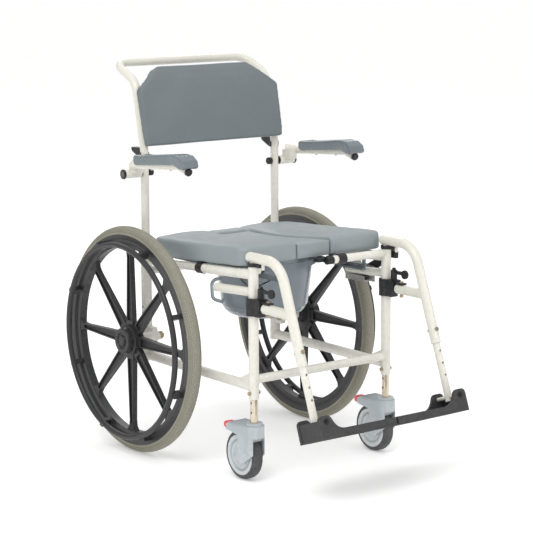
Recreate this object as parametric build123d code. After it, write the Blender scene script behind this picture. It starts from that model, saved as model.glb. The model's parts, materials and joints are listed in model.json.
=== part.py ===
from build123d import *
import os
from math import sin, cos, tan, radians

# Self-propelled commode chair. Millimetres, +Z up, front of the chair towards -Y,
# +X is the sitter's left. Origin: on the floor below the middle of the overall box.

AXLE_Y = 217.3           # rear wheel axle, measured back from the origin
AXLE_Z = 300.0
WHEEL_R = 300.0          # 24 inch wheel with tyre
TYRE_W = 35.0
TYRE_SEAT_R = 279.0
RIM_IN_R = 246.0
WHEEL_X = 291.0          # middle plane of the hub
RIM_X, SPOKE_X = 285.0, 288.0
HUB_R = 40.0
PUSHRIM_R = 254.5
PUSHRIM_TUBE_R = 7.5
PUSHRIM_X = 326.0

SIDE_X = 215.0           # half spacing of the uprights
TUBE_R = 12.7
TUBE_IN = 10.2
FRONT_Y = AXLE_Y - 437.0
REAR_Y = AXLE_Y + 37.0
FRONT_BOT, FRONT_TOP = 213.0, 546.0
REAR_BOT, REAR_TOP = 229.0, 530.0
REAR_R, REAR_IN = 14.0, 11.2
LOW_RAIL_Z = 243.0
LOW_CROSS_Z = 262.0
REAR_CROSS_Z = 505.0
STUB_Z = 481.5           # lower stub at the front upright
SMALL_R = 11.0
SEAT_TILT = 3.3          # seat and its rails fall towards the back

POST_R, POST_IN = 11.0, 9.3
RECLINE = 11.7
POST_BOT = 420.0
BAR_Y, BAR_Z = AXLE_Y + 172.0, 1013.0

SEAT_W, SEAT_D, SEAT_T = 454.0, 400.0, 49.0
SEAT_FRONT_Y, SEAT_FRONT_Z = AXLE_Y - 408.0, 590.5
TONGUE_W, TONGUE_D = 106.0, 350.0
TONGUE_GAP = 1.5

PAN_Y = AXLE_Y - 198.0
PAN_TOP, PAN_BOT = 503.0, 366.0
PAN_R_TOP, PAN_R_BOT, PAN_WALL = 125.5, 115.0, 3.0

ARM_X = 270.0
ARM_PIVOT_Z = 733.0
ARM_PIVOT_Y = AXLE_Y + 35.0
ARM_R = 11.0

LEAN = 20.0              # legrest tube leans forward going down
KNEE_Y, KNEE_Z = AXLE_Y - 544.0, 568.0
LEG_END_Z = 329.0
EXT_R = 9.5
PIN_DOWN = 140.0         # footplate pin, below the end of the outer leg tube
LINK_Z = 447.0

CASTOR_R, CASTOR_W = 62.5, 32.0
CASTOR_TRAIL = 42.0
FORK_TOP = 152.0

SIDES = (("right", -1), ("left", 1))
LEG_DIR = (0, -sin(radians(LEAN)), -cos(radians(LEAN)))


def save(name, shape):
    export_step(Compound(children=list(shape)) if isinstance(shape, (list, tuple)) else shape,
                f"parts/{name}.step")


def rod(p, q, r):
    start, way = Vector(*p), Vector(*q) - Vector(*p)
    return Solid.make_cylinder(r, way.length, Plane(origin=start, z_dir=way.normalized()))


def pipe(p, q, ro, ri):
    return rod(p, q, ro) - rod(p, q, ri)


def box(lo, hi):
    size = [hi[i] - lo[i] for i in range(3)]
    mid = [(hi[i] + lo[i]) / 2 for i in range(3)]
    return Pos(*mid) * Box(*size)


def side_box(s, x0, x1, y0, y1, z0, z1):
    return box((min(s * x0, s * x1), y0, z0), (max(s * x0, s * x1), y1, z1))


def bend_path(points, radii):
    """Straight lines through the points, with a tangent arc at each inner point."""
    pts = [Vector(*p) for p in points]
    edges, start = [], pts[0]
    for i, r in zip(range(1, len(pts) - 1), radii):
        d_in = (pts[i] - pts[i - 1]).normalized()
        d_out = (pts[i + 1] - pts[i]).normalized()
        half = radians(d_in.get_angle(d_out)) / 2
        a, b = pts[i] - d_in * (r * tan(half)), pts[i] + d_out * (r * tan(half))
        mid = pts[i] + (d_out - d_in).normalized() * (r * (1 / cos(half) - 1))
        edges += [Edge.make_line(start, a), Edge.make_three_point_arc(a, mid, b)]
        start = b
    edges.append(Edge.make_line(start, pts[-1]))
    return Wire(edges)


def bent_rod(points, radii, r):
    path = bend_path(points, radii)
    way = (Vector(*points[1]) - Vector(*points[0])).normalized()
    return sweep(Plane(origin=Vector(*points[0]), z_dir=way) * Circle(r), path=path)


def bent_pipe(points, radii, ro, ri):
    return bent_rod(points, radii, ro) - bent_rod(points, radii, ri)


def prism_x(points, x0, x1):
    """Outline in the side plane, as (y, z) points, pulled from x0 to x1."""
    face = make_face(Polyline(*[(x0, y, z) for y, z in points], close=True).edges())
    return Solid.extrude(face.face(), Vector(x1 - x0, 0, 0))


def rail_z(y):
    """Height of the upper side rail's axis: it falls with the seat."""
    return 525.0 - tan(radians(SEAT_TILT)) * (y - (AXLE_Y - 425.0))


def ring_x(x, r_out, r_in, width, y=AXLE_Y, z=AXLE_Z):
    p, q = (x - width / 2, y, z), (x + width / 2, y, z)
    return pipe(p, q, r_out, r_in)


def spin_x(points, x, y, z):
    """Turn an (offset along X, radius) outline about a sideways axis."""
    face = make_face(Polyline(*[(a, b, 0) for a, b in points], close=True).edges())
    return Pos(x, y, z) * revolve(face, Axis.X)


def front_uprights():
    out = []
    for _, s in SIDES:
        x = s * SIDE_X
        tube = pipe((x, FRONT_Y, FRONT_BOT), (x, FRONT_Y, FRONT_TOP), TUBE_R, TUBE_IN)
        out.append(tube - rod((x - 20, FRONT_Y, 228), (x + 20, FRONT_Y, 228), 3.0))
    save("front_uprights", out)


def upright_core(x, r=TUBE_R):
    return rod((x, FRONT_Y, FRONT_BOT - 20), (x, FRONT_Y, FRONT_TOP + 20), r)


def upper_rails():
    split_y, out = AXLE_Y - 231.0, []
    for _, s in SIDES:
        x = s * SIDE_X
        a, b = (x, FRONT_Y, rail_z(FRONT_Y)), (x, split_y, rail_z(split_y))
        thick = pipe(a, b, TUBE_R, 10.7) - upright_core(x)
        c, d = (x, split_y - 30, rail_z(split_y - 30)), (x, REAR_Y, rail_z(REAR_Y))
        thin = pipe(c, d, 10.4, 8.4) - rod((x, REAR_Y, 400), (x, REAR_Y, 600), REAR_R)
        out += [fillet(thick.edges().sort_by(Axis.Y)[-2:], 0.9), thin]
    save("upper_rails", out)


def lower_stubs():
    out = []
    for _, s in SIDES:
        x = s * SIDE_X
        end_y = AXLE_Y - 277.0
        z0 = STUB_Z
        z1 = z0 + rail_z(end_y) - rail_z(FRONT_Y)
        stub = rod((x, FRONT_Y, z0), (x, end_y, z1), SMALL_R)
        stub = fillet(stub.edges().filter_by(GeomType.CIRCLE).sort_by(Axis.Y)[-1], 7.0)
        out.append(stub - upright_core(x))
    save("lower_stubs", out)


def lower_rails():
    out = []
    for _, s in SIDES:
        x = s * SIDE_X
        rail = pipe((x, FRONT_Y, LOW_RAIL_Z), (x, REAR_Y, LOW_RAIL_Z), TUBE_R, 10.7)
        rail -= rod((x, REAR_Y, 200), (x, REAR_Y, 300), REAR_R)
        gusset = prism_x([(FRONT_Y, 252), (FRONT_Y, 278), (FRONT_Y + 18, 275), (FRONT_Y + 66, 252)],
                         x - 3, x + 3)
        gusset -= rod((x, FRONT_Y, LOW_RAIL_Z), (x, REAR_Y, LOW_RAIL_Z), TUBE_R - 1)
        out.append(rail + gusset - upright_core(x))
    save("lower_rails", out)


def rear_uprights():
    out = []
    for _, s in SIDES:
        x = s * SIDE_X
        tube = pipe((x, REAR_Y, REAR_BOT), (x, REAR_Y, REAR_TOP), REAR_R, REAR_IN)
        for z in (375.0, 276.0, 248.0):
            tube -= rod((x, REAR_Y, z), (x + s * 20, REAR_Y, z), 3.0)
        out.append(tube)
    save("rear_uprights", out)


def axle_brackets():
    out = []
    for _, s in SIDES:
        sleeve = pipe((s * 206, AXLE_Y, AXLE_Z), (s * 262, AXLE_Y, AXLE_Z), 13.0, 6.5)
        web = side_box(s, 207, 223, AXLE_Y, REAR_Y, AXLE_Z - 22, AXLE_Z + 22)
        web -= rod((s * SIDE_X, REAR_Y, 200), (s * SIDE_X, REAR_Y, 400), REAR_R)
        web -= rod((s * 200, AXLE_Y, AXLE_Z), (s * 270, AXLE_Y, AXLE_Z), 12.0)
        out.append(sleeve + web)
    save("axle_brackets", out)


def axles():
    out = []
    for _, s in SIDES:
        pin = rod((s * 190, AXLE_Y, AXLE_Z), (s * 316, AXLE_Y, AXLE_Z), 6.3)
        nut = extrude(Plane(origin=(s * 194, AXLE_Y, AXLE_Z), z_dir=(s, 0, 0)) * RegularPolygon(11, 6), 12)
        out.append(pin + nut)
    save("axles", out)


def cross_tubes():
    x = SIDE_X
    front = pipe((-x, FRONT_Y, LOW_CROSS_Z), (x, FRONT_Y, LOW_CROSS_Z), SMALL_R, 9.0)
    rear = pipe((-x, REAR_Y, REAR_CROSS_Z - 34), (x, REAR_Y, REAR_CROSS_Z - 34), SMALL_R, 9.0)
    for s in (-1, 1):
        front -= upright_core(s * x)
        rear -= rod((s * x, REAR_Y, 300), (s * x, REAR_Y, 600), REAR_R)
    save("cross_tubes", [front, rear])


def seat_stubs():
    """The left upright carries a long stub for the seat; the right one only a plugged socket."""
    out, z = [], 535.5
    for s, end in ((-1, 198), (1, 36)):
        stub = pipe((s * end, FRONT_Y, z), (s * SIDE_X, FRONT_Y, z), 10.5, 8.5)
        rail = rod((s * SIDE_X, FRONT_Y, rail_z(FRONT_Y)), (s * SIDE_X, AXLE_Y, rail_z(AXLE_Y)), TUBE_R)
        out.append(stub - upright_core(s * SIDE_X) - rail)
    save("seat_stubs", out)
    plug = fillet(rod((14, FRONT_Y, z), (36, FRONT_Y, z), 10.5).edges(), 2.5)
    catch = box((-8, FRONT_Y + 3, z - 3), (18, FRONT_Y + 24, z + 6))
    clips = [plug + catch, fillet(rod((-186, FRONT_Y, z), (-198, FRONT_Y, z), 10.5).edges(), 2.5)]
    grip = pipe((50, FRONT_Y, z), (74, FRONT_Y, z), 14.0, 10.5)
    tab = side_box(1, 52, 72, FRONT_Y, FRONT_Y + 46, z - 1, z + 3) - rod((40, FRONT_Y, z), (90, FRONT_Y, z), 12.0)
    clips.append(grip + tab)
    for _, s in SIDES:
        x, y = s * SIDE_X, AXLE_Y - 231.0
        cuff = pipe((x, y, rail_z(y)), (x, y + 24, rail_z(y + 24)), 14.5, 10.4)
        tab = box((x - 9, y + 4, rail_z(y)), (x + 9, y + 20, rail_z(y) + 16))
        clips.append(cuff + tab - rod((x, y, rail_z(y)), (x, y + 24, rail_z(y + 24)), 10.4))
    save("seat_clips", clips)


def post_points(s):
    k1z = 968.0
    k1y = REAR_Y + (k1z - 790) * tan(radians(RECLINE))
    return [(s * SIDE_X, REAR_Y, POST_BOT), (s * SIDE_X, REAR_Y, 790), (s * SIDE_X, k1y, k1z),
            (s * SIDE_X, BAR_Y, BAR_Z)]


def back_tube():
    left = post_points(1)
    right = list(reversed(post_points(-1)))
    radii = (120, 50, 38, 38, 50, 120)
    tube = bent_pipe(left + right, radii, POST_R, POST_IN)
    y, z = ARM_PIVOT_Y + 2, ARM_PIVOT_Z
    for _, s in SIDES:
        tube -= rod((s * 200, y, z), (s * 230, y, z), 5.02)
    save("back_tube", tube)


def panel_section(front_off, back_off, height, arc_deg):
    """Side outline of the back panel: it follows the post in front of its axis."""
    t = radians(RECLINE)
    up, fwd = (sin(t), cos(t)), (-cos(t), sin(t))
    bend = 58.0

    def at(h, off):
        return (REAR_Y + up[0] * h + fwd[0] * off, 790 + up[1] * h + fwd[1] * off)
    pts = [at(9, back_off), at(9, front_off), at(height, front_off)]
    centre = at(height, -bend)
    for deg in (arc_deg / 3, arc_deg * 2 / 3, arc_deg):
        a = t + radians(deg)
        pts.append((centre[0] - cos(a) * (bend + front_off), centre[1] + sin(a) * (bend + front_off)))
    for deg in (arc_deg, arc_deg * 2 / 3, arc_deg / 3, 0):
        a = t + radians(deg)
        pts.append((centre[0] - cos(a) * (bend + back_off), centre[1] + sin(a) * (bend + back_off)))
    return pts


def back_panel():
    slab = prism_x(panel_section(34.0, 12.0, 158.0, 44.0), -232, 232)
    outline = [(-223, 788), (223, 788), (227, 947.5), (105, 1036), (-105, 1036), (-227, 947.5)]
    y = REAR_Y - 60
    face = make_face(Polyline(*[(x, y, z) for x, z in outline], close=True).edges()).face()
    front = Solid.extrude(face, Vector(0, 160, 0))
    front = fillet(front.edges().filter_by(Axis.Y), 9.0)
    save("back_panel", slab & front)


def panel_brackets():
    out = []
    for _, s in SIDES:
        x = s * SIDE_X
        ring = pipe((x, REAR_Y, 772), (x, REAR_Y, 786), 14.5, POST_R)
        ring -= box((x - 20, REAR_Y - 20, 765), (x + 20, REAR_Y - 1, 795))
        fin = prism_x([(REAR_Y, 772), (REAR_Y + 16, 772), (REAR_Y + 46, 786), (REAR_Y + 51, 792), (REAR_Y + 48, 797),
                       (REAR_Y + 18, 797), (REAR_Y, 786)], x - 8, x + 8)
        out.append(ring + fin - bent_rod(post_points(s)[:3], (120,), POST_R + 0.05))
    save("panel_brackets", out)


def seat_plane(depth=0.0, down=0.0):
    t = radians(SEAT_TILT)
    frame = Plane(origin=(0, SEAT_FRONT_Y, SEAT_FRONT_Z), x_dir=(1, 0, 0), z_dir=(0, sin(t), cos(t)))
    return Plane(origin=frame.from_local_coords((0, depth, -down)), x_dir=(1, 0, 0), z_dir=frame.z_dir)


def seat():
    body = seat_plane(SEAT_D / 2, SEAT_T / 2).location * Box(SEAT_W, SEAT_D, SEAT_T)
    upright = [e for e in body.edges() if abs(e.length - SEAT_T) < 0.1]
    body = fillet(upright, 24.0)
    top = body.faces().sort_by(Axis.Z)[-1]
    body = fillet(top.edges(), 10.0)
    cut_w, cut_d = TONGUE_W + 2 * TONGUE_GAP, TONGUE_D + TONGUE_GAP
    slot = seat_plane(cut_d / 2 - 20, SEAT_T / 2).location * Box(cut_w, cut_d + 40, SEAT_T + 20)
    save("seat_cushion", body - slot)
    tongue = seat_plane(TONGUE_D / 2 + 1, SEAT_T / 2 + 0.5).location * Box(TONGUE_W, TONGUE_D - 2, SEAT_T - 3)
    top = tongue.faces().sort_by(Axis.Z)[-1]
    save("seat_insert", fillet(top.edges(), 8.0))


def pan_parts():
    flange_r, skirt = 136.0, 14.0
    corner, arc = 42.0, (90, 72, 54, 36, 18, 0)
    centre_r, centre_z = PAN_R_BOT - corner, PAN_BOT + corner
    outer = [(0, PAN_BOT)]
    outer += [(centre_r + corner * cos(radians(d)), centre_z - corner * sin(radians(d))) for d in arc]
    outer += [(PAN_R_TOP, PAN_TOP - 4), (PAN_R_TOP, PAN_TOP), (flange_r, PAN_TOP), (flange_r, PAN_TOP + skirt),
              (flange_r - 3, PAN_TOP + skirt), (flange_r - 3, PAN_TOP + 3), (PAN_R_TOP - PAN_WALL, PAN_TOP + 3)]
    inner = corner - PAN_WALL
    outer += [(centre_r + inner * cos(radians(d)), centre_z - inner * sin(radians(d))) for d in reversed(arc)]
    outer += [(0, PAN_BOT + PAN_WALL)]
    face = make_face(Polyline(*[(r, 0, z) for r, z in outer], close=True).edges())
    pan = Pos(0, PAN_Y, 0) * revolve(face, Axis.Z)
    way = Vector(-cos(radians(25)), sin(radians(25)), 0)
    centre = Vector(0, PAN_Y, 0)
    pts = [centre + way * 114 + Vector(0, 0, 464), centre + way * 141 + Vector(0, 0, 460),
           centre + way * 139 + Vector(0, 0, 410), centre + way * 106 + Vector(0, 0, 398)]
    grip = bent_rod([tuple(p) for p in pts], (16, 16), 4.5)
    hollow = make_face(Polyline((0, 0, PAN_BOT + 2), (PAN_R_BOT - 20, 0, PAN_BOT + 14), (PAN_R_BOT - 2, 0, PAN_BOT + 40),
                                (PAN_R_TOP - 2, 0, PAN_TOP), (0, 0, PAN_TOP), close=True).edges())
    save("pan", pan + (grip - Pos(0, PAN_Y, 0) * revolve(hollow, Axis.Z)))


def pan_rails():
    out = []
    for _, s in SIDES:
        y0, y1 = FRONT_Y - 6, REAR_Y
        web = side_box(s, 138, 141, y0, y1, PAN_TOP - 4, 512) + side_box(s, 138, 141, y0, y0 + 12, 500, 530)
        shelf = side_box(s, 128.5, 141, y0, y1, PAN_TOP - 4, PAN_TOP)
        rail = web + shelf - rod((-300, REAR_Y, REAR_CROSS_Z - 34), (300, REAR_Y, REAR_CROSS_Z - 34), SMALL_R)
        hanger = side_box(s, 138, 141, REAR_Y - 8, REAR_Y + 8, REAR_CROSS_Z - 24, PAN_TOP - 4)
        rail += hanger
        rail -= rod((-300, REAR_Y, REAR_CROSS_Z - 34), (300, REAR_Y, REAR_CROSS_Z - 34), SMALL_R)
        rail -= rod((-300, FRONT_Y, 535.5), (300, FRONT_Y, 535.5), 10.5)
        out.append(rail)
    save("pan_rails", out)


def castor_stems():
    stems, bolts = [], []
    for _, s in SIDES:
        x = s * SIDE_X
        stem = pipe((x, FRONT_Y, FORK_TOP + 0.3), (x, FRONT_Y, 300), EXT_R, 6.0)
        for z in (178, 203, 228, 253, 278):
            stem -= rod((x - 20, FRONT_Y, z), (x + 20, FRONT_Y, z), 3.0)
        stem += rod((x, FRONT_Y, 121), (x, FRONT_Y, FORK_TOP + 6), 8.0)
        stems.append(stem)
        bolt = rod((x - 16, FRONT_Y, 228), (x + 16, FRONT_Y, 228), 2.9)
        for t in (-1, 1):
            bolt += rod((x + t * 12.8, FRONT_Y, 228), (x + t * 17, FRONT_Y, 228), 5.0)
        bolts.append(bolt)
    save("castor_stems", stems)
    save("stem_bolts", bolts)


def arm_pivots():
    """Pivot bolt through each back post, with a washer and an inboard hand knob."""
    out = []
    for _, s in SIDES:
        y, z = ARM_PIVOT_Y + 2, ARM_PIVOT_Z
        bolt = rod((s * 204, y, z), (s * 279, y, z), 5.0)
        bolt += fillet(rod((s * 191, y, z), (s * 203.5, y, z), 9.5).edges(), 2.5)
        bolt += rod((s * 226.4, y, z), (s * 229, y, z), 11.0)
        out.append(bolt)
    save("arm_pivots", out)


def arm_path(s):
    return [(s * ARM_X, AXLE_Y - 240, 765), (s * ARM_X, AXLE_Y - 206, 776),
            (s * ARM_X, AXLE_Y + 6, 761.5), (s * 243, AXLE_Y + 26, 767)]


def armrest(name, s):
    y, z = ARM_PIVOT_Y + 2, ARM_PIVOT_Z
    tube = bent_rod(arm_path(s), (30, 18), ARM_R)
    sleeve = rod((s * 229.5, y, z), (s * 279, y, z), 12.0)
    web = side_box(s, 240, 266, AXLE_Y + 2, AXLE_Y + 34, z + 4, 762)
    arm = tube + sleeve + web - rod((s * 220, y, z), (s * 279, y, z), 5.06)
    arm = arm - rod((s * 279, y, z), (s * 300, y, z), 13)
    save(f"arm_tube_{name}", arm)
    disc = fillet(rod((s * 279.3, y, z), (s * 284, y, z), 13.0).edges(), 1.5)
    a, b = Vector(*arm_path(s)[1]), Vector(*arm_path(s)[0])
    way = (b - a).normalized()
    cap = fillet(rod(tuple(b), tuple(b + way * 9), 10.0).edges(), 3.0)
    save(f"arm_caps_{name}", [disc, cap])
    top = [(-34, 0), (-60, 0), (-205, 15), (-232, 13), (-250, 2), (-256, -14), (-248, -20),
           (-232, -19), (-208, -11), (-40, -27), (-30, -22), (-28, -8)]
    pad = prism_x([(AXLE_Y + a, 791 + b) for a, b in top], s * ARM_X - 25, s * ARM_X + 25)
    pad = pad - bent_rod(arm_path(s), (30, 18), ARM_R + 0.6)
    pad = pad - rod(tuple(b - way * 4), tuple(b + way * 14), 10.6)
    save(f"arm_pad_{name}", pad.solids().sort_by(SortBy.VOLUME)[-1])


def leg_point(down):
    """Point on the legrest tube's axis, measured down from the outer tube's end."""
    end_y = KNEE_Y - tan(radians(LEAN)) * (KNEE_Z - LEG_END_Z)
    return end_y + LEG_DIR[1] * down, LEG_END_Z + LEG_DIR[2] * down


def leg_xyz(s, down):
    return (s * SIDE_X, *leg_point(down))


def legrest(name, s):
    x = s * SIDE_X
    path = [(x, AXLE_Y - 426, KNEE_Z), (x, KNEE_Y, KNEE_Z), leg_xyz(s, 0)]
    outer = bent_rod(path, (70,), TUBE_R) + Pos(*path[0]) * Sphere(TUBE_R)
    outer += rod((x, FRONT_Y, 505), (x, FRONT_Y, KNEE_Z - 4), 8.5)
    outer += rod((x, FRONT_Y - 40, 542), (x, FRONT_Y - 40, KNEE_Z - 4), 4.0)
    link_y = AXLE_Y - 480
    link = rod((x, link_y, LINK_Z), (x, AXLE_Y - 586, LINK_Z), TUBE_R)
    link = fillet(link.edges().filter_by(GeomType.CIRCLE).sort_by(Axis.Y)[-1], 5.0)
    link -= rod((x, link_y - 10, LINK_Z), (x, AXLE_Y - 592, LINK_Z), 10.2)
    link -= rod((x, link_y - 18, 400), (x, link_y - 18, 500), 3.2)
    tube = outer + link - bent_rod([leg_xyz(s, 1), (x, KNEE_Y, KNEE_Z), path[0]], (70,), 10.0)
    front = Vector(0, -cos(radians(LEAN)), sin(radians(LEAN)))
    lock = Vector(*leg_xyz(s, -34))
    tube -= rod(tuple(lock - front * 20), tuple(lock + front * 20), 3.0)
    save(f"leg_tube_{name}", tube)
    bolts = [rod((x, link_y - 18, 426), (x, link_y - 18, 466), 3.0)
             + rod((x, link_y - 18, 464.2), (x, link_y - 18, 468), 5.0)
             + rod((x, link_y - 18, 427), (x, link_y - 18, 433), 5.0)]
    for t in (-1, 1):
        bolts.append(rod(tuple(lock + front * (10.2 * t)), tuple(lock + front * (17 * t)), 2.9)
                     + rod(tuple(lock + front * (12.8 * t)), tuple(lock + front * (17 * t)), 5.0))
    save(f"leg_bolts_{name}", bolts)


def collars():
    out = []
    for _, s in SIDES:
        x = s * SIDE_X
        body = rod((x, FRONT_Y, 424), (x, FRONT_Y, 444), 18.5) \
            + box((x - 11, FRONT_Y - 34, 424), (x + 11, FRONT_Y, 444))
        out.append(body - upright_core(x, TUBE_R + 0.02))
    save("lock_collars", out)
    bushes = []
    for _, s in SIDES:
        x = s * SIDE_X
        bush = rod((x, FRONT_Y, FRONT_TOP), (x, FRONT_Y, 555), 14.5)
        bush += rod((x, FRONT_Y, 500), (x, FRONT_Y, FRONT_TOP + 2), 10.1)
        bush += box((x - 5, FRONT_Y - 30, FRONT_TOP), (x + 5, FRONT_Y - 8, 555))
        bushes.append(bush - rod((x, FRONT_Y, 480), (x, FRONT_Y, 570), 8.56))
    save("leg_bushes", bushes)


def swing_collar(name, s):
    x, py = s * SIDE_X, FRONT_Y - 31
    body = rod((x, FRONT_Y, 444.4), (x, FRONT_Y, 468), 19.0)
    body += box((x - 14, FRONT_Y - 42, 444.4), (x + 14, FRONT_Y, 468))
    body -= upright_core(x, TUBE_R + 0.35)
    body += box((x - 8, FRONT_Y - 72, 460), (x + 8, FRONT_Y - 40, 464.2))
    body -= rod((x, FRONT_Y - 42.4, LINK_Z), (x, FRONT_Y - 90, LINK_Z), TUBE_R + 0.02)
    body -= rod((x, AXLE_Y - 498, 440), (x, AXLE_Y - 498, 480), 3.2)
    body += rod((x, py, 467), (x, py, 483), 8.5)
    body += rod((x, py, 480), (x, py, 496), 4.0)
    body += fillet(rod((x, py, 494.4), (x, py, 500), 5.0).edges(), 1.5)
    save(f"swing_collar_{name}", body)
    lever = rod((x, py, 483.4), (x, py, 494), 8.5)
    lever += box((x - 3.5, py - 34, 484.5), (x + 3.5, py - 2, 493))
    lever += fillet(rod((x - 4, py - 42, 487), (x + 4, py - 42, 487), 11.5).edges(), 2.0)
    save(f"latch_lever_{name}", lever - rod((x, py, 480), (x, py, 500), 4.06))


def leg_frame(s):
    """Plane at the footplate pin: X sideways, Y forward across the leg, Z up the leg."""
    t = radians(LEAN)
    return Plane(origin=leg_xyz(s, PIN_DOWN), x_dir=(-s, 0, 0), z_dir=(0, sin(t), cos(t)))


def local_box(plane, lo, hi):
    return plane.location * box(lo, hi)


def leg_extension(name, s):
    tube = pipe(leg_xyz(s, -90), leg_xyz(s, PIN_DOWN + 10), EXT_R, 7.3)
    front = Vector(0, -cos(radians(LEAN)), sin(radians(LEAN)))
    for down in (-34, 21, 52, 83):
        p = Vector(*leg_xyz(s, down))
        tube -= rod(tuple(p - front * 20), tuple(p + front * 20), 3.0)
    pin_at = Vector(*leg_xyz(s, PIN_DOWN))
    tube += rod(leg_xyz(s, PIN_DOWN - 12), leg_xyz(s, PIN_DOWN + 10), 8.0)
    tube += rod(tuple(pin_at - front * 47), tuple(pin_at + front * 38.5), 5.0)
    save(f"leg_extension_{name}", tube)


def footplate(name, s):
    frame = leg_frame(s)
    # in the local frame +X points inwards; forward is found from the plane's own Y axis
    f = -1 if frame.y_dir.Y > 0 else 1
    inner = SIDE_X - 3.0

    def slab(x0, x1, y0, y1, z0, z1):
        lo = (x0, min(f * y0, f * y1), z0)
        hi = (x1, max(f * y0, f * y1), z1)
        return local_box(frame, lo, hi)

    def cheek(y0, y1):
        path = [(-20, -42), (-20, 4), (-18, 10), (-13, 14), (-8, 15), (6, 15), (12, 13), (17, 8), (23, -4),
                (28, -11), (34, -16), (42, -20), (52, -22), (52, -42)]
        face = make_face(Polyline(*[(a, f * y0, b) for a, b in path], close=True).edges()).face()
        return frame.location * Solid.extrude(face, Vector(0, f * (y1 - y0), 0))

    plate = slab(-18.5, inner, -48, 44, -42, -22) + slab(30, inner, -84, -46, -42, -24)
    plate -= slab(40, inner - 14, -74, 34, -43, -28)
    for y in (-56, -38, -20, -2, 16):
        plate += slab(36, inner - 6, y - 1.5, y + 1.5, -40, -26)
    wall = slab(-18.5, -14, -48, 44, -42, 5)
    body = plate + wall + cheek(36, 44) + cheek(-48, -40)
    a = frame.from_local_coords((0, f * -60, 0))
    b = frame.from_local_coords((0, f * 60, 0))
    body -= rod(tuple(a), tuple(b), 5.06)
    c = frame.from_local_coords((0, f * 41.5, 0))
    body -= rod(tuple(c), tuple(b), 8.0)
    save(f"footplate_{name}", body)


def rear_wheel(name, s):
    x = s * WHEEL_X
    half = TYRE_W / 2
    tread = [(-half, TYRE_SEAT_R), (half, TYRE_SEAT_R), (half, 280)]
    arc_c = WHEEL_R - half
    for deg in (18, 36, 54, 72, 90, 108, 126, 144, 162):
        tread.append((half * cos(radians(deg)), arc_c + half * sin(radians(deg))))
    tread.append((-half, 280))
    save(f"tyre_{name}", spin_x(tread, s * RIM_X, AXLE_Y, AXLE_Z))
    rim = [(-17, TYRE_SEAT_R), (-16, 266), (-11, 258), (-11, RIM_IN_R), (11, RIM_IN_R), (11, 258),
           (16, 266), (17, TYRE_SEAT_R)]
    save(f"rim_{name}", spin_x(rim, s * RIM_X, AXLE_Y, AXLE_Z))
    keep = ring_x(s * SPOKE_X, RIM_IN_R, HUB_R, 60)
    spokes = []
    for i in range(8):
        outline = [(-15, 30), (15, 30), (7.5, 218), (9.5, 233), (16, 242), (28, 252), (-28, 252), (-16, 242),
                   (-9.5, 233), (-7.5, 218)]
        groove = [(-10, 52), (10, 52), (3.5, 226), (-3.5, 226)]
        make = [make_face(Polyline(*[(0, a, b) for a, b in o], close=True).edges()).face()
                for o in (outline, groove)]
        spoke = Solid.extrude(Pos(-7, 0, 0) * make[0], Vector(14, 0, 0))
        for t in (-1, 1):
            spoke -= Solid.extrude(Pos(t * 3, 0, 0) * make[1], Vector(t * 10, 0, 0))
        spokes.append((Pos(s * SPOKE_X, AXLE_Y, AXLE_Z) * Rot(i * 45, 0, 0) * spoke & keep).solid())
    save(f"spokes_{name}", spokes)
    hub = [(-s * 27, 6.0), (-s * 27, 22), (-s * 14, 26), (-s * 11, HUB_R), (s * 11, HUB_R), (s * 14, 35),
           (s * 26, 34), (s * 30, 32), (s * 30, 22), (s * 27, 20), (s * 27, 15), (s * 31, 13), (s * 31, 6.0)]
    hub_body = spin_x(hub, x, AXLE_Y, AXLE_Z)
    hub_body += rod((x + s * 26, AXLE_Y, AXLE_Z), (x + s * 31, AXLE_Y, AXLE_Z), 13.0)
    hub_body -= rod((x - s * 40, AXLE_Y, AXLE_Z), (x + s * 26, AXLE_Y, AXLE_Z), 6.36)
    save(f"hub_{name}", hub_body)
    ring = Pos(PUSHRIM_X, AXLE_Y, AXLE_Z) * Rot(0, 90, 0) * Torus(PUSHRIM_R, PUSHRIM_TUBE_R)
    for i in range(8):
        tab = box((301.5, -6, 250), (PUSHRIM_X, 6, 270))
        ring += Pos(0, AXLE_Y, AXLE_Z) * Rot(22.5 + 45 * i, 0, 0) * tab
    save(f"pushrim_{name}", ring if s > 0 else mirror(ring, Plane.YZ))


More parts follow.
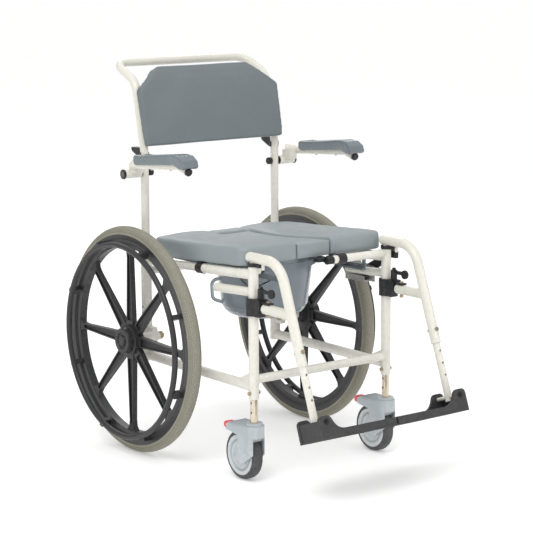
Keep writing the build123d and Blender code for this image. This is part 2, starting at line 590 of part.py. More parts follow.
def castor(name, s):
    x, ay, az = s * SIDE_X, FRONT_Y + CASTOR_TRAIL, CASTOR_R
    side = [(FRONT_Y - 24, 146), (FRONT_Y - 24, 77), (ay - 26, 47), (ay - 10, 43.5), (ay + 8, 46),
            (ay + 17, 57), (ay + 14, 76), (ay - 4, 100), (ay - 6, 116), (ay + 44, 122),
            (ay + 46, 136), (ay + 26, 146)]
    body = prism_x(side, x - 24, x + 24)
    front = [e for e in body.edges().filter_by(Axis.Z) if e.center().Y < FRONT_Y - 20]
    body = fillet(front, 20.0)
    body += rod((x, FRONT_Y, 145), (x, FRONT_Y, FORK_TOP), 21.5)
    body -= rod((x - 17.8, ay, az), (x + 17.8, ay, az), CASTOR_R + 2.5)
    body -= box((x - 17.8, FRONT_Y - 40, 20), (x + 17.8, FRONT_Y - 8, 115))
    body -= box((x - 17.8, FRONT_Y - 8, 20), (x + 17.8, ay + 40, az + 30))
    body -= rod((x, FRONT_Y, 120.5), (x, FRONT_Y, 160), 8.06)
    pocket = box((x - 9.6, ay + 20, 121.5), (x + 9.6, ay + 60, 141))
    body -= pocket
    body -= rod((x - 16, ay + 30, 131), (x + 16, ay + 30, 131), 3.06)
    body += rod((x - 22, ay, az), (x + 22, ay, az), 5.0)
    save(f"castor_fork_{name}", body)
    pedal = box((x - 9, ay + 24, 126.5), (x + 9, ay + 62, 137))
    nose = prism_x([(ay + 58, 124), (ay + 58, 138), (ay + 70, 136), (ay + 75, 129), (ay + 73, 121),
                    (ay + 66, 119)], x - 9, x + 9)
    pedal += nose + rod((x - 14, ay + 30, 131), (x + 14, ay + 30, 131), 3.0)
    save(f"castor_pedal_{name}", pedal)
    h = CASTOR_W / 2
    tyre = [(-h + 1, 51), (h - 1, 51), (h, 55), (h - 4, 60.5), (h - 9, CASTOR_R), (-h + 9, CASTOR_R),
            (-h + 4, 60.5), (-h, 55)]
    save(f"castor_tyre_{name}", spin_x(tyre, x, ay, az))
    disc = [(-h + 1, 51), (-h + 1, 42), (-h + 4, 40), (-h + 4, 36), (-h + 1, 34), (-h + 1, 5.06),
            (h - 1, 5.06), (h - 1, 34), (h - 4, 36), (h - 4, 40), (h - 1, 42), (h - 1, 51)]
    save(f"castor_hub_{name}", spin_x(disc, x, ay, az))


LOCK_PIVOT = (AXLE_Y - 345, 470.0)


def wheel_lock():
    """Left side only: bracket on the lower stub, and a lever that carries the tyre bar."""
    y, z = LOCK_PIVOT
    stub_z = STUB_Z + rail_z(y) - rail_z(FRONT_Y)
    base = side_box(1, 226.3, 230, y - 30, y + 75, stub_z - 28, stub_z + 14)
    base += side_box(1, 204, 230, y - 14, y + 60, stub_z - 28, stub_z - 24)
    base += side_box(1, 204, 207, y - 14, y + 60, stub_z - 28, stub_z - 13)
    base += rod((229, y, z), (241, y, z), 4.0)
    save("wheel_lock_base", base)
    bar_y, bar_z = y + 77, z - 18.7
    arm = [(y - 11, z - 8), (y - 13, z + 6), (y - 4, z + 20), (y + 18, z + 22), (y + 84, z + 4),
           (y + 90, z - 12), (bar_y + 8, bar_z - 9), (bar_y - 8, bar_z - 9), (y + 62, z - 4), (y + 12, z - 8)]
    lever = prism_x(arm, 231, 236)
    lever += prism_x([(y - 13, z - 2), (y + 6, z + 20), (y - 80, z + 64), (y - 92, z + 52)], 231, 236)
    lever += fillet(box((231, y - 110, z + 50), (243, y - 76, z + 71)).edges(), 3.0)
    lever += rod((231, bar_y, bar_z), (304, bar_y, bar_z), 7.0)
    save("wheel_lock_lever", lever - rod((220, y, z), (250, y, z), 4.06))


def main():
    os.makedirs("parts", exist_ok=True)
    for step in (front_uprights, upper_rails, lower_stubs, lower_rails, rear_uprights, axle_brackets,
                 axles, cross_tubes, seat_stubs, back_tube, back_panel, panel_brackets, seat,
                 pan_parts, pan_rails, castor_stems, arm_pivots, collars, wheel_lock):
        step()
    for name, s in SIDES:
        for step in (armrest, legrest, swing_collar, leg_extension, footplate, rear_wheel, castor):
            step(name, s)


main()
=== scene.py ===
"""Visual scene of a self-propelled commode chair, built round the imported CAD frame. Metres, +Z up."""
import bpy
import json
import math
from mathutils import Euler, Matrix, Vector, noise

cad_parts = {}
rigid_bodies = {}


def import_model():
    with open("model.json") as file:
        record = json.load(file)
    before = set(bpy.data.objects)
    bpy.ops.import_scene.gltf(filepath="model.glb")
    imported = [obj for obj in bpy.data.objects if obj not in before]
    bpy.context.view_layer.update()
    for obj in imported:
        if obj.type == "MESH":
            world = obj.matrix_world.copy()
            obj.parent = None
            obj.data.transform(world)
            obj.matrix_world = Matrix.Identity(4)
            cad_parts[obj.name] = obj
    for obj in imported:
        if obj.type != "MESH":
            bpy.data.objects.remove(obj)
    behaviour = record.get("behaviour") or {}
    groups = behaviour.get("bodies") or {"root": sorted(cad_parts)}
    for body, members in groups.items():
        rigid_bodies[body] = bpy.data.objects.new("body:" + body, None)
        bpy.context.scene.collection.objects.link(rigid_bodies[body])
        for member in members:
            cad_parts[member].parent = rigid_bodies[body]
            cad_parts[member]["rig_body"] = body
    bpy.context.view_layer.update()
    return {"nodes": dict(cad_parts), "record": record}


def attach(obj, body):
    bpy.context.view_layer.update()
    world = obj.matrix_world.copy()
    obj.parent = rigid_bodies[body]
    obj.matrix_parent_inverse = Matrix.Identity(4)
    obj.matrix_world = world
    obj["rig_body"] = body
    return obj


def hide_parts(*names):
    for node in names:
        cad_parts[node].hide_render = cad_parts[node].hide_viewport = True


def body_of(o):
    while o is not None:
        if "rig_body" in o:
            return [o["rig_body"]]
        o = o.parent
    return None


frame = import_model()
NODES = frame["nodes"]
SIDES = (("right", -1), ("left", 1))
X, Y, Z = Vector((1, 0, 0)), Vector((0, 1, 0)), Vector((0, 0, 1))

AXLE = Vector((0.0, 0.2173, 0.300))
RIM_X = 0.285
SIDE_X = 0.215
FRONT_Y, REAR_Y = AXLE.y - 0.437, AXLE.y + 0.037
TUBE_R, REAR_R = 0.0127, 0.014
SEAT_TILT = math.radians(3.3)
SEAT_FRONT = Vector((0.0, -0.1907, 0.5905))     # front edge of the seat's top
SLOT_X = 0.052                                  # just inside the edge of the slot for the insert
SMALL_R = 0.011                                 # stubs and cross tubes
LOW_RAIL_Z, LOW_CROSS_Z = 0.243, 0.262
REAR_CROSS_WELD_Z, STUB_Z = 0.471, 0.4815
ARM_X, ARM_PIVOT_Z, ARM_CAP_X = 0.270, 0.733, 0.284
ARM_UNDER_Z, ARM_SLOPE = 0.7508, 0.0684         # underside of the arm tube above the axle line, and its rise
PIN_REACH = 0.0384                              # footplate hinge to the end of its pin
POST_Z, POST_R = 0.790, 0.0106                  # foot of the reclined back post, and just inside its wall
RECLINE = math.radians(11.7)
PAN_Y = AXLE.y - 0.198
PAN_WIRE_R = 0.0014


# ---------------------------------------------------------------- materials
class Nodes:
    """Small helper for building one procedural material."""

    def __init__(self, name, base, rough, metallic=0.0, coat=0.0, sheen=0.0, specular=0.5):
        self.mat = bpy.data.materials.new(name)
        self.mat.use_nodes = True
        self.tree = self.mat.node_tree
        self.bsdf = self.tree.nodes["Principled BSDF"]
        self.mat.diffuse_color = (*base, 1.0)
        b = self.bsdf.inputs
        b["Base Color"].default_value = (*base, 1.0)
        b["Roughness"].default_value = rough
        b["Metallic"].default_value = metallic
        b["Coat Weight"].default_value = coat
        b["Coat Roughness"].default_value = 0.2
        b["Sheen Weight"].default_value = sheen
        b["Specular IOR Level"].default_value = specular
        self.base, self.rough = base, rough
        self.coords = self.add("ShaderNodeTexCoord").outputs["Object"]
        self.normal = None

    def add(self, kind, **values):
        node = self.tree.nodes.new(kind)
        for key, value in values.items():
            setattr(node, key, value)
        return node

    def link(self, a, b):
        self.tree.links.new(a, b)

    def math(self, op, a, b=None, c=None):
        node = self.add("ShaderNodeMath", operation=op)
        for socket, value in zip(node.inputs, (a, b, c)):
            if value is None:
                continue
            if isinstance(value, (int, float)):
                socket.default_value = value
            else:
                self.link(value, socket)
        return node.outputs[0]

    def stretched(self, scale):
        node = self.add("ShaderNodeMapping")
        node.inputs["Scale"].default_value = scale
        self.link(self.coords, node.inputs["Vector"])
        return node.outputs[0]

    def noise(self, scale, detail=3.0, vector=None):
        node = self.add("ShaderNodeTexNoise")
        node.inputs["Scale"].default_value = scale
        node.inputs["Detail"].default_value = detail
        self.link(vector or self.coords, node.inputs["Vector"])
        return node.outputs["Fac"]

    def cells(self, scale, feature="F1"):
        node = self.add("ShaderNodeTexVoronoi", feature=feature)
        node.inputs["Scale"].default_value = scale
        self.link(self.coords, node.inputs["Vector"])
        return node.outputs["Distance"]

    def between(self, value, low, high, out_low=0.0, out_high=1.0):
        node = self.add("ShaderNodeMapRange")
        node.inputs["From Min"].default_value = low
        node.inputs["From Max"].default_value = high
        node.inputs["To Min"].default_value = out_low
        node.inputs["To Max"].default_value = out_high
        self.link(value, node.inputs["Value"])
        return node.outputs["Result"]

    def bump(self, height, distance, strength=1.0):
        node = self.add("ShaderNodeBump")
        node.inputs["Distance"].default_value = distance
        node.inputs["Strength"].default_value = strength
        self.link(height, node.inputs["Height"])
        if self.normal is not None:
            self.link(self.normal, node.inputs["Normal"])
        self.normal = node.outputs["Normal"]
        self.link(self.normal, self.bsdf.inputs["Normal"])

    def tint(self, fac, other, amount=1.0):
        """Mixes another colour over the present one where fac is high."""
        node = self.add("ShaderNodeMix", data_type="RGBA")
        socket = self.bsdf.inputs["Base Color"]
        if socket.is_linked:
            self.link(socket.links[0].from_socket, node.inputs["A"])
        else:
            node.inputs["A"].default_value = tuple(socket.default_value)
        node.inputs["B"].default_value = (*other, 1.0)
        self.link(self.math("MULTIPLY", fac, amount), node.inputs["Factor"])
        self.link(node.outputs["Result"], socket)

    def mottle(self, scale, darker, lighter):
        """Slow colour variation, as dye, dust and handling leave it."""
        cloud = self.noise(scale, 4.0)
        self.tint(self.between(cloud, 0.35, 0.62, 1.0, 0.0), [c * darker for c in self.base], 0.8)
        self.tint(self.between(cloud, 0.52, 0.75), [min(1.0, c * lighter) for c in self.base], 0.7)

    def gloss(self, scale, spread):
        """Roughness that varies over the surface, about the material's own value."""
        cloud = self.noise(scale, 5.0)
        low, high = max(0.03, self.rough - spread), min(1.0, self.rough + spread)
        self.link(self.between(cloud, 0.3, 0.7, low, high), self.bsdf.inputs["Roughness"])

    def edges(self, colour, amount=0.6, low=0.53, high=0.60):
        """Rubbed or paler corners."""
        point = self.add("ShaderNodeNewGeometry").outputs["Pointiness"]
        broken = self.between(self.noise(90.0, 4.0), 0.35, 0.65)
        self.tint(self.math("MULTIPLY", self.between(point, low, high), broken), colour, amount)

    def corner_shade(self, colour, amount=0.6, low=0.43, high=0.49):
        """Painted shade: darker inside corners, where less light reaches."""
        point = self.add("ShaderNodeNewGeometry").outputs["Pointiness"]
        self.tint(self.between(point, low, high, 1.0, 0.0), colour, amount)


def paint():
    m = Nodes("frame_paint", (0.745, 0.725, 0.645), 0.30, coat=0.15)
    m.mottle(7.0, 0.975, 1.02)
    # painted shade in the frame's inside corners
    m.corner_shade((0.58, 0.55, 0.47), 0.4)
    m.edges((0.86, 0.85, 0.80), 0.5)
    m.gloss(25.0, 0.06)
    m.bump(m.noise(650.0, 2.0), 0.00012, 0.5)
    m.bump(m.noise(60.0, 2.0), 0.0004, 0.25)
    return m.mat


def champagne():
    m = Nodes("stem_metal", (0.62, 0.52, 0.385), 0.33, metallic=0.85)
    lines = m.noise(60.0, 3.0, m.stretched((14.0, 14.0, 0.4)))
    m.tint(m.between(lines, 0.3, 0.7), (0.74, 0.66, 0.53), 0.6)
    m.gloss(40.0, 0.08)
    m.bump(lines, 0.0002, 0.3)
    m.edges((0.85, 0.8, 0.7), 0.5)
    return m.mat


def zinc():
    m = Nodes("zinc_gold", (0.43, 0.345, 0.225), 0.34, metallic=0.9)
    m.tint(m.between(m.noise(160.0, 4.0), 0.4, 0.7), (0.36, 0.32, 0.28), 0.7)
    m.tint(m.between(m.noise(60.0, 3.0), 0.5, 0.75), (0.52, 0.44, 0.27), 0.6)
    # painted shade in the inside corners of the zinc parts
    m.corner_shade((0.12, 0.08, 0.05), 0.7)
    m.gloss(200.0, 0.1)
    m.bump(m.noise(700.0, 2.0), 0.0001, 0.4)
    return m.mat


def lock_steel():
    m = Nodes("lock_steel", (0.30, 0.295, 0.28), 0.42, metallic=0.4)
    m.mottle(40.0, 0.8, 1.2)
    m.gloss(60.0, 0.1)
    m.edges((0.6, 0.6, 0.58), 0.7)
    m.bump(m.noise(500.0, 2.0), 0.0001, 0.5)
    return m.mat


def moulded(name, base, rough, grain, depth, pale, specular=0.5, coat=0.0):
    """Textured moulded plastic: spark-eroded grain, soft sheen and paler rubbed edges."""
    m = Nodes(name, base, rough, specular=specular, coat=coat)
    m.mottle(9.0, 0.93, 1.07)
    m.gloss(70.0, 0.05)
    m.bump(m.cells(grain), depth, 0.4)
    m.bump(m.noise(28.0, 2.0), 0.0005, 0.10)
    m.edges(pale, 0.35)
    # painted shade: the plastic darkened to half its colour inside corners
    m.corner_shade([c * 0.5 for c in base], 0.6)
    return m.mat


def skin_foam(name, base, rough, grain, depth, pale, coat=0.0):
    """Self-skinned polyurethane foam: fine leather-like grain, slow waves, faint flow marks."""
    m = Nodes(name, base, rough, coat=coat, specular=0.45)
    m.mottle(9.0, 0.93, 1.05)
    m.tint(m.between(m.noise(330.0, 2.0), 0.45, 0.75), [c * 0.90 for c in base], 0.7)
    m.gloss(45.0, 0.07)
    m.bump(m.cells(grain, "SMOOTH_F1"), depth, 0.55)
    m.bump(m.noise(34.0, 3.0), 0.0012, 0.22)
    m.edges(pale, 0.35, 0.52, 0.58)
    return m.mat


def tyre_rubber():
    """Grey-olive tyre: fine ribbed tread across the crown, ringed side walls, dusty crown."""
    m = Nodes("tyre_grey", (0.335, 0.325, 0.255), 0.74, specular=0.3)
    split = m.add("ShaderNodeSeparateXYZ")
    m.link(m.coords, split.inputs[0])
    y = m.math("SUBTRACT", split.outputs["Y"], AXLE.y)
    z = m.math("SUBTRACT", split.outputs["Z"], AXLE.z)
    out = m.math("SUBTRACT", m.math("ABSOLUTE", split.outputs["X"]), RIM_X)
    radius = m.math("SQRT", m.math("ADD", m.math("MULTIPLY", y, y), m.math("MULTIPLY", z, z)))
    turn = m.math("ARCTAN2", z, y)
    m.mottle(6.0, 0.90, 1.10)
    crown = m.between(radius, 0.2835, 0.2860)
    m.tint(m.between(radius, 0.289, 0.2995), (0.46, 0.45, 0.365), 0.8)
    slant = m.math("MULTIPLY", m.math("ABSOLUTE", out), 900.0)
    ribs = m.math("SINE", m.math("ADD", m.math("MULTIPLY", turn, 460.0), slant))
    blocks = m.math("MULTIPLY", m.between(ribs, -0.35, 0.15), crown)
    lanes = m.between(m.math("COSINE", m.math("MULTIPLY", out, 1570.0)), -0.92, -0.7)
    tread = m.math("MULTIPLY", blocks, lanes)
    # painted shade: the grooves between the tread ribs darkened on the crown
    m.tint(m.math("MULTIPLY", m.math("SUBTRACT", 1.0, tread), crown), (0.19, 0.183, 0.145), 0.7)
    m.tint(m.between(m.noise(380.0, 2.0), 0.50, 0.66), (0.20, 0.195, 0.155), 0.65)
    m.bump(tread, 0.0011, 0.9)
    rings = m.math("SINE", m.math("MULTIPLY", radius, 2600.0))
    wall = m.math("MULTIPLY", m.between(rings, 0.2, 0.9), m.between(radius, 0.2815, 0.2840, 1.0, 0.0))
    m.bump(wall, 0.0004, 0.6)
    m.tint(wall, (0.25, 0.245, 0.19), 0.5)
    m.bump(m.noise(420.0, 3.0), 0.0002, 0.5)
    m.gloss(35.0, 0.08)
    return m.mat


def castor_rubber():
    m = Nodes("castor_rubber", (0.075, 0.075, 0.078), 0.62, specular=0.35)
    m.mottle(30.0, 0.8, 1.35)
    m.tint(m.between(m.noise(160.0, 4.0), 0.55, 0.75), (0.17, 0.165, 0.155), 0.4)
    m.bump(m.noise(500.0, 3.0), 0.0002, 0.6)
    m.gloss(60.0, 0.09)
    m.edges((0.15, 0.15, 0.15), 0.5)
    return m.mat


def castor_grey():
    m = Nodes("castor_grey", (0.43, 0.475, 0.50), 0.34, coat=0.1)
    m.mottle(16.0, 0.92, 1.06)
    m.gloss(60.0, 0.06)
    m.bump(m.cells(900.0), 0.00008, 0.4)
    m.edges((0.60, 0.63, 0.65), 0.5)
    # painted shade in the inside corners of the castor parts
    m.corner_shade((0.16, 0.18, 0.20), 0.7)
    return m.mat


def red_plastic():
    m = Nodes("red_plastic", (0.80, 0.045, 0.05), 0.33, coat=0.2)
    m.mottle(40.0, 0.8, 1.15)
    m.gloss(80.0, 0.07)
    m.edges((0.92, 0.30, 0.28), 0.6)
    m.bump(m.noise(500.0, 2.0), 0.0001, 0.4)
    return m.mat


def pan_plastic():
    """Smoky translucent pan: clear enough to pass light, frosted by the mould."""
    m = Nodes("pan_plastic", (0.46, 0.52, 0.57), 0.20, specular=0.5, coat=0.3)
    m.bsdf.inputs["Transmission Weight"].default_value = 0.60
    m.bsdf.inputs["IOR"].default_value = 1.35
    m.mottle(10.0, 0.9, 1.08)
    m.gloss(30.0, 0.06)
    m.bump(m.noise(180.0, 2.0), 0.0002, 0.4)
    m.edges((0.55, 0.62, 0.66), 0.5)
    return m.mat


def floor_material():
    m = Nodes("studio_floor", (0.93, 0.93, 0.925), 0.75, specular=0.2)
    m.tint(m.between(m.noise(0.8, 2.0), 0.3, 0.7), (0.91, 0.91, 0.905), 0.6)
    m.bsdf.inputs["Emission Color"].default_value = (1.0, 1.0, 1.0, 1.0)
    m.bsdf.inputs["Emission Strength"].default_value = 0.25
    return m.mat


MATERIALS = {
    "frame_paint": paint(),
    "stem_metal": champagne(),
    "zinc_gold": zinc(),
    "lock_steel": lock_steel(),
    "black_plastic": moulded("black_plastic", (0.015, 0.015, 0.017), 0.44, 1300.0, 0.00010,
                             (0.05, 0.05, 0.052), 0.4),
    "dark_plastic": moulded("dark_plastic", (0.042, 0.042, 0.043), 0.52, 800.0, 0.00018,
                            (0.09, 0.09, 0.09), 0.35),
    "wheel_plastic": moulded("wheel_plastic", (0.020, 0.020, 0.021), 0.42, 1100.0, 0.00012,
                             (0.06, 0.06, 0.063), 0.4),
    "tyre_grey": tyre_rubber(),
    "castor_grey": castor_grey(),
    "castor_rubber": castor_rubber(),
    "red_plastic": red_plastic(),
    "seat_pad": skin_foam("seat_pad", (0.285, 0.322, 0.338), 0.46, 620.0, 0.00022, (0.37, 0.41, 0.43)),
    "back_pad": skin_foam("back_pad", (0.158, 0.186, 0.198), 0.50, 620.0, 0.00020, (0.27, 0.31, 0.33)),
    "arm_pad": skin_foam("arm_pad", (0.150, 0.182, 0.200), 0.24, 900.0, 0.00012,
                         (0.26, 0.30, 0.33), coat=0.35),
    "pan_plastic": pan_plastic(),
    "rail_grey": moulded("rail_grey", (0.12, 0.145, 0.16), 0.45, 900.0, 0.00010, (0.25, 0.28, 0.30)),
}
CREAM_DISC = moulded("castor_disc", (0.56, 0.60, 0.62), 0.36, 900.0, 0.00008, (0.75, 0.77, 0.78))
RIM_DARK = moulded("rim_charcoal", (0.032, 0.032, 0.034), 0.40, 1100.0, 0.00012, (0.08, 0.08, 0.084), 0.42)
GREY_CENTRE = moulded("disc_centre", (0.11, 0.11, 0.115), 0.42, 900.0, 0.00010, (0.2, 0.2, 0.2))


def give(obj, mat):
    if obj.data.materials:
        for i in range(len(obj.data.materials)):
            obj.data.materials[i] = mat
    else:
        obj.data.materials.append(mat)


for part in frame["record"]["subparts"]:
    give(NODES[part["node"]], MATERIALS[part["material_slot"]])
for side, _ in SIDES:
    give(NODES[f"castor_hub_{side}"], CREAM_DISC)
    give(NODES[f"rim_{side}"], RIM_DARK)
    give(NODES[f"pushrim_{side}"], RIM_DARK)
give(NODES["castor_stems"], MATERIALS["stem_metal"])


# ---------------------------------------------------------------- mesh helpers
def piece(name, verts, faces, mat, body, smooth=True):
    mesh = bpy.data.meshes.new(name)
    mesh.from_pydata([tuple(v) for v in verts], [], faces)
    mesh.validate()
    mesh.update()
    obj = bpy.data.objects.new(name, mesh)
    bpy.context.scene.collection.objects.link(obj)
    give(obj, MATERIALS[mat] if isinstance(mat, str) else mat)
    if smooth:
        mesh.shade_smooth()
    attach(obj, body)
    return obj


def closed_tube(points, radii, sides=8):
    """A ring of tube along a closed line of points, with its own radius at each point."""
    verts, faces, count = [], [], len(points)
    centre = sum(points, Vector()) / count
    for i, p in enumerate(points):
        along = (points[(i + 1) % count] - points[i - 1]).normalized()
        out = (p - centre)
        out = (out - along * out.dot(along)).normalized()
        up = along.cross(out)
        for k in range(sides):
            a = 2 * math.pi * k / sides
            verts.append(p + (out * math.cos(a) + up * math.sin(a)) * radii[i])
    for i in range(count):
        for k in range(sides):
            j, n = (i + 1) % count, (k + 1) % sides
            faces.append((i * sides + k, i * sides + n, j * sides + n, j * sides + k))
    return verts, faces


def merge(groups):
    verts, faces = [], []
    for some_verts, some_faces in groups:
        at = len(verts)
        verts += some_verts
        faces += [tuple(i + at for i in f) for f in some_faces]
    return verts, faces


def weld(at, way, small_r, host_r, up=Vector((0, 0, 1))):
    """The rippled bead where a tube of small_r meets a round upright of host_r."""
    across = way.cross(up).normalized()
    points, radii, count = [], [], 84
    for i in range(count):
        a = 2 * math.pi * i / count
        side = small_r * math.cos(a)
        reach = math.sqrt(max(host_r ** 2 - side ** 2, (host_r * 0.28) ** 2))
        points.append(at + way * reach + across * side + up * small_r * math.sin(a))
        radii.append(0.0017 + 0.00035 * math.sin(a * 21))
    return closed_tube(points, radii)


def lathe(at, axis, outline, turns=48):
    """Solid of revolution with closed ends; outline is pairs of distance along the axis and radius."""
    helper = Vector((0, 0, 1)) if abs(axis.z) < 0.9 else Vector((1, 0, 0))
    u = axis.cross(helper).normalized()
    v = axis.cross(u).normalized()
    verts, faces, rows = [], [], len(outline)
    for along, radius in outline:
        for k in range(turns):
            a = 2 * math.pi * k / turns
            verts.append(at + axis * along + (u * math.cos(a) + v * math.sin(a)) * radius)
    for r in range(rows - 1):
        for k in range(turns):
            n = (k + 1) % turns
            faces.append((r * turns + k, (r + 1) * turns + k, (r + 1) * turns + n, r * turns + n))
    faces.append(tuple(range(turns)))
    faces.append(tuple(reversed(range((rows - 1) * turns, rows * turns))))
    return verts, faces


# ---------------------------------------------------------------- soft pieces
def relaxed_copy(node, voxel, rounds, mat, shape=None):
    """A soft, round-edged piece in place of a plain CAD pad: remeshed, relaxed, shaped, subdivided."""
    source = NODES[node]
    body = body_of(source)
    obj = bpy.data.objects.new(f"{node}_soft", source.data.copy())
    bpy.context.scene.collection.objects.link(obj)
    remesh = obj.modifiers.new("remesh", "REMESH")
    remesh.mode = "VOXEL"
    remesh.voxel_size = voxel
    relax = obj.modifiers.new("relax", "SMOOTH")
    relax.factor = 0.5
    relax.iterations = rounds
    graph = bpy.context.evaluated_depsgraph_get()
    mesh = bpy.data.meshes.new_from_object(obj.evaluated_get(graph))
    obj.modifiers.clear()
    obj.data = mesh
    if shape:
        normals = [v.normal.copy() for v in mesh.vertices]
        for v, n in zip(mesh.vertices, normals):
            v.co += shape(v.co.copy(), n)
    sub = obj.modifiers.new("round", "SUBSURF")
    sub.levels = sub.render_levels = 1
    mesh.materials.clear()
    mesh.materials.append(MATERIALS[mat])
    mesh.shade_smooth()
    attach(obj, body if isinstance(body, str) else body[0])
    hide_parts(node)
    return obj


def seat_surface(p):
    """Rise of the seat's top: a broad hollow, and a lobe on each side at the rear. It fades out downwards."""
    top = SEAT_FRONT.z - (p.y - SEAT_FRONT.y) * math.tan(SEAT_TILT)
    weight = min(max(1.0 - (top - p.z) / 0.036, 0.0), 1.0)
    across = max(1.0 - (p.x / 0.205) ** 2, 0.0)
    along = max(1.0 - ((p.y - 0.01) / 0.19) ** 2, 0.0)
    rear = min(max((p.y - 0.04) / 0.14, 0.0), 1.0)
    lobe = math.exp(-((abs(p.x) - 0.125) / 0.075) ** 2)
    return weight * (0.0055 * lobe * rear * rear * (3.0 - 2.0 * rear) - 0.0075 * across * along)


def seat_shape(p, n):
    """The hollow, rounded slot edges, and a slow unevenness of the foam skin."""
    wave = noise.noise(p * 14.0) * 0.0006
    slot_edge = math.exp(-((abs(p.x) - SLOT_X) / 0.007) ** 2) * max(n.z, 0.0) * 0.0028
    return n * wave + Z * (seat_surface(p) - slot_edge)


def insert_shape(p, n):
    """The tongue follows the hollow but sits lower than the seat, most of all at its rounded front."""
    wave = noise.noise(p * 14.0 + Vector((3, 0, 0))) * 0.0005
    ahead = min(max((p.y - SEAT_FRONT.y) / 0.12, 0.0), 1.0)
    sunk = (0.0030 + 0.0034 * (1.0 - ahead) ** 2) * max(n.z, 0.0)
    return n * wave + Z * (seat_surface(p) - sunk)


def pad_shape(p, n):
    """Finger hollow near the front end of an arm pad."""
    dip = math.exp(-((p.y - (AXLE.y - 0.190)) / 0.028) ** 2)
    side = 1.0 if abs(n.x) > 0.5 else 0.0
    front = math.exp(-((p.y - (AXLE.y - 0.228)) / 0.016) ** 2)
    ridge = math.cos(p.x * 2 * math.pi / 0.0125) * front * max(n.z, 0.0)
    return n * (-0.0022 * dip * side + 0.0007 * ridge + noise.noise(p * 30.0) * 0.0003)


def back_shape(p, n):
    wave = noise.noise(p * 9.0) * 0.0008
    return n * wave


relaxed_copy("seat_cushion", 0.0045, 9, "seat_pad", seat_shape)
relaxed_copy("seat_insert", 0.0040, 8, "seat_pad", insert_shape)
relaxed_copy("back_panel", 0.0040, 7, "back_pad", back_shape)
for side, s in SIDES:
    relaxed_copy(f"arm_pad_{side}", 0.0022, 10, "arm_pad", pad_shape)


# ---------------------------------------------------------------- added hard detail
welds = []
for side, s in SIDES:
    front, rear = Vector((s * SIDE_X, FRONT_Y, 0)), Vector((s * SIDE_X, REAR_Y, 0))
    welds += [weld(front + Z * LOW_RAIL_Z, Y, TUBE_R, TUBE_R),
              weld(rear + Z * LOW_RAIL_Z, -Y, TUBE_R, REAR_R),
              weld(front + Z * LOW_CROSS_Z, X * -s, SMALL_R, TUBE_R),
              weld(rear + Z * REAR_CROSS_WELD_Z, X * -s, SMALL_R, REAR_R),
              weld(front + Z * STUB_Z, Y, SMALL_R, TUBE_R)]
piece("weld_beads", *merge(welds), "frame_paint", "frame")


# distance along the axis, radius
CENTRE_OUTLINE = [(0.0, 0.0085), (0.0006, 0.0085), (0.0011, 0.0078),
                  (0.0011, 0.004), (0.0004, 0.0032), (0.0004, 0.001)]
# painted shade: a small black disc for the dark hole round the end of each footplate pin
HOLE_SHADE_OUTLINE = [(0.0, 0.0049), (0.0012, 0.0049), (0.0018, 0.0042),
               (0.0018, 0.0022), (0.0008, 0.0018), (0.0008, 0.0006)]


def screw_head(at, axis, radius, height):
    """Domed button head with a hexagon socket."""
    outline = [(0.0, radius * 0.96), (height * 0.25, radius), (height * 0.6, radius * 0.90),
               (height * 0.9, radius * 0.68), (height, radius * 0.56), (height * 0.93, radius * 0.50),
               (height * 0.35, radius * 0.48), (height * 0.33, radius * 0.2)]
    return lathe(at, axis, outline, 30)


for side, s in SIDES:
    out = X * s
    pivot = Vector((s * ARM_CAP_X, REAR_Y, ARM_PIVOT_Z))
    piece(f"pivot_centre_{side}", *lathe(pivot, out, CENTRE_OUTLINE), GREY_CENTRE, f"armrest_{side}")
    under = []
    for ahead in (0.080, 0.165):
        tube_bottom = ARM_UNDER_Z + ARM_SLOPE * (ahead + 0.006)
        under.append(screw_head(Vector((s * ARM_X, AXLE.y - ahead, tube_bottom)), -Z, 0.0038, 0.0026))
    piece(f"arm_screws_{side}", *merge(under), "frame_paint", f"armrest_{side}")

JOINTS = {joint["name"]: joint for joint in frame["record"]["behaviour"]["joints"]}
for side, s in SIDES:
    flip = JOINTS[f"footplate_flip_{side}"]
    ahead = Vector(flip["axis"]) * -s
    pin_end = Vector(flip["pos_m"]) + ahead * PIN_REACH
    # a black disc on each footplate pin end, standing in for the shade in the hole round it
    piece(f"pin_hole_shade_{side}", *lathe(pin_end, ahead, HOLE_SHADE_OUTLINE, 32), "black_plastic", f"extension_{side}")

rearward = Vector((0, math.cos(RECLINE), -math.sin(RECLINE)))
panel_screws = []
for side, s in SIDES:
    for height in (0.040, 0.135):
        post = Vector((s * SIDE_X, REAR_Y + height * math.sin(RECLINE), POST_Z + height * math.cos(RECLINE)))
        panel_screws.append(screw_head(post + rearward * POST_R, rearward, 0.0055, 0.0036))
piece("panel_screws", *merge(panel_screws), "zinc_gold", "frame")


def wire(name, points, radius, mat, body):
    """A bent wire as a smooth, round tube that follows the points."""
    curve = bpy.data.curves.new(name, "CURVE")
    curve.dimensions = "3D"
    line = curve.splines.new("NURBS")
    line.points.add(len(points) - 1)
    for point, at in zip(line.points, points):
        point.co = (*at, 1.0)
    line.order_u = 4
    line.use_endpoint_u = True
    curve.bevel_depth, curve.bevel_resolution, curve.use_fill_caps = radius, 3, True
    curve.resolution_u = 10
    obj = bpy.data.objects.new(name, curve)
    bpy.context.scene.collection.objects.link(obj)
    curve.materials.append(MATERIALS[mat])
    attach(obj, body)


def pan_point(turn, radius, height):
    """A point beside the pan, from its angle in degrees and its distance from the pan's axis."""
    a = math.radians(turn)
    return (radius * math.cos(a), PAN_Y + radius * math.sin(a), height)


bail = [pan_point(-158, 0.1275, 0.486), pan_point(-156, 0.1285, 0.478), pan_point(-148, 0.1275, 0.459),
        pan_point(-137, 0.1270, 0.456), pan_point(-126, 0.1275, 0.468), pan_point(-114, 0.1285, 0.484)]
wire("pan_bail", bail, PAN_WIRE_R, "black_plastic", "pan_body")


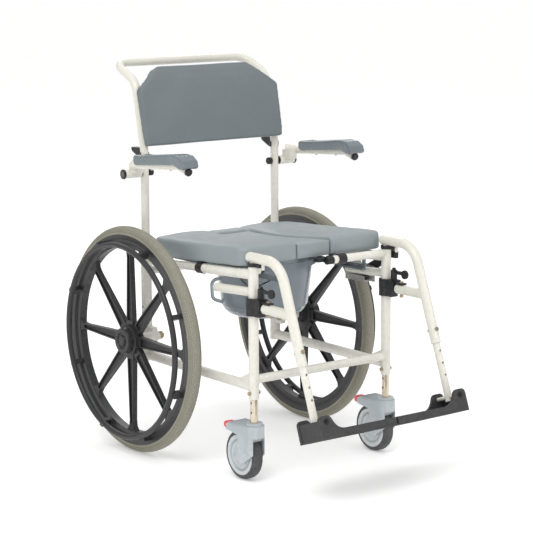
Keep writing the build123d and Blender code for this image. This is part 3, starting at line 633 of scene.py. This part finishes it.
# ---------------------------------------------------------------- stage, light, camera
def add_floor():
    size = 60.0
    floor = bpy.data.objects.new("studio_floor", bpy.data.meshes.new("studio_floor"))
    corners = [(-size, -size, 0), (size, -size, 0), (size, size, 0), (-size, size, 0)]
    floor.data.from_pydata(corners, [], [(0, 1, 2, 3)])
    floor.location.z = -0.0005
    floor.data.materials.append(floor_material())
    bpy.context.scene.collection.objects.link(floor)


def add_light(name, at, target, size, power, colour=(1, 1, 1)):
    data = bpy.data.lights.new(name, "AREA")
    data.shape = "DISK"
    data.size, data.energy, data.color = size, power, colour
    light = bpy.data.objects.new(name, data)
    light.location = at
    light.rotation_euler = (Vector(target) - Vector(at)).to_track_quat("-Z", "Y").to_euler()
    bpy.context.scene.collection.objects.link(light)


def add_world(strength):
    """White all round to look at, but brighter from above as a light source."""
    world = bpy.data.worlds.new("studio")
    world.use_nodes = True
    tree = world.node_tree
    back = tree.nodes["Background"]
    back.inputs["Color"].default_value = (1.0, 1.0, 1.0, 1.0)
    where = tree.nodes.new("ShaderNodeTexCoord")
    split = tree.nodes.new("ShaderNodeSeparateXYZ")
    tree.links.new(where.outputs["Generated"], split.inputs[0])
    ramp = tree.nodes.new("ShaderNodeMapRange")
    ramp.inputs["From Min"].default_value, ramp.inputs["From Max"].default_value = 0.0, 0.9
    ramp.inputs["To Min"].default_value = strength * 0.45
    ramp.inputs["To Max"].default_value = strength * 1.2
    tree.links.new(split.outputs["Z"], ramp.inputs["Value"])
    ray = tree.nodes.new("ShaderNodeLightPath")
    pick = tree.nodes.new("ShaderNodeMix")
    tree.links.new(ray.outputs["Is Camera Ray"], pick.inputs["Factor"])
    tree.links.new(ramp.outputs["Result"], pick.inputs["A"])
    pick.inputs["B"].default_value = 1.0
    tree.links.new(pick.outputs["Result"], back.inputs["Strength"])
    bpy.context.scene.world = world


def add_camera():
    data = bpy.data.cameras.new("camera")
    data.lens, data.sensor_width, data.clip_end = 126.26, 36.0, 300.0
    camera = bpy.data.objects.new("camera", data)
    turn = Euler((math.radians(80.1), 0.0, math.radians(-37.2))).to_matrix()
    roll = Matrix.Rotation(math.radians(-0.3), 3, "Z")
    camera.matrix_world = Matrix.Translation((-2.916, -3.832, 1.333)) @ (turn @ roll).to_4x4()
    bpy.context.scene.collection.objects.link(camera)
    bpy.context.scene.camera = camera


add_floor()
add_world(0.82)
add_light("key", (-2.2, -1.6, 3.6), (0, 0, 0.4), 2.2, 62.0)
add_light("front", (0.8, -4.2, 2.2), (0, 0, 0.5), 2.0, 22.0)
add_light("back", (1.8, 3.4, 3.0), (0, 0, 0.6), 2.2, 26.0)
add_camera()
bpy.context.scene.view_settings.view_transform = "Standard"
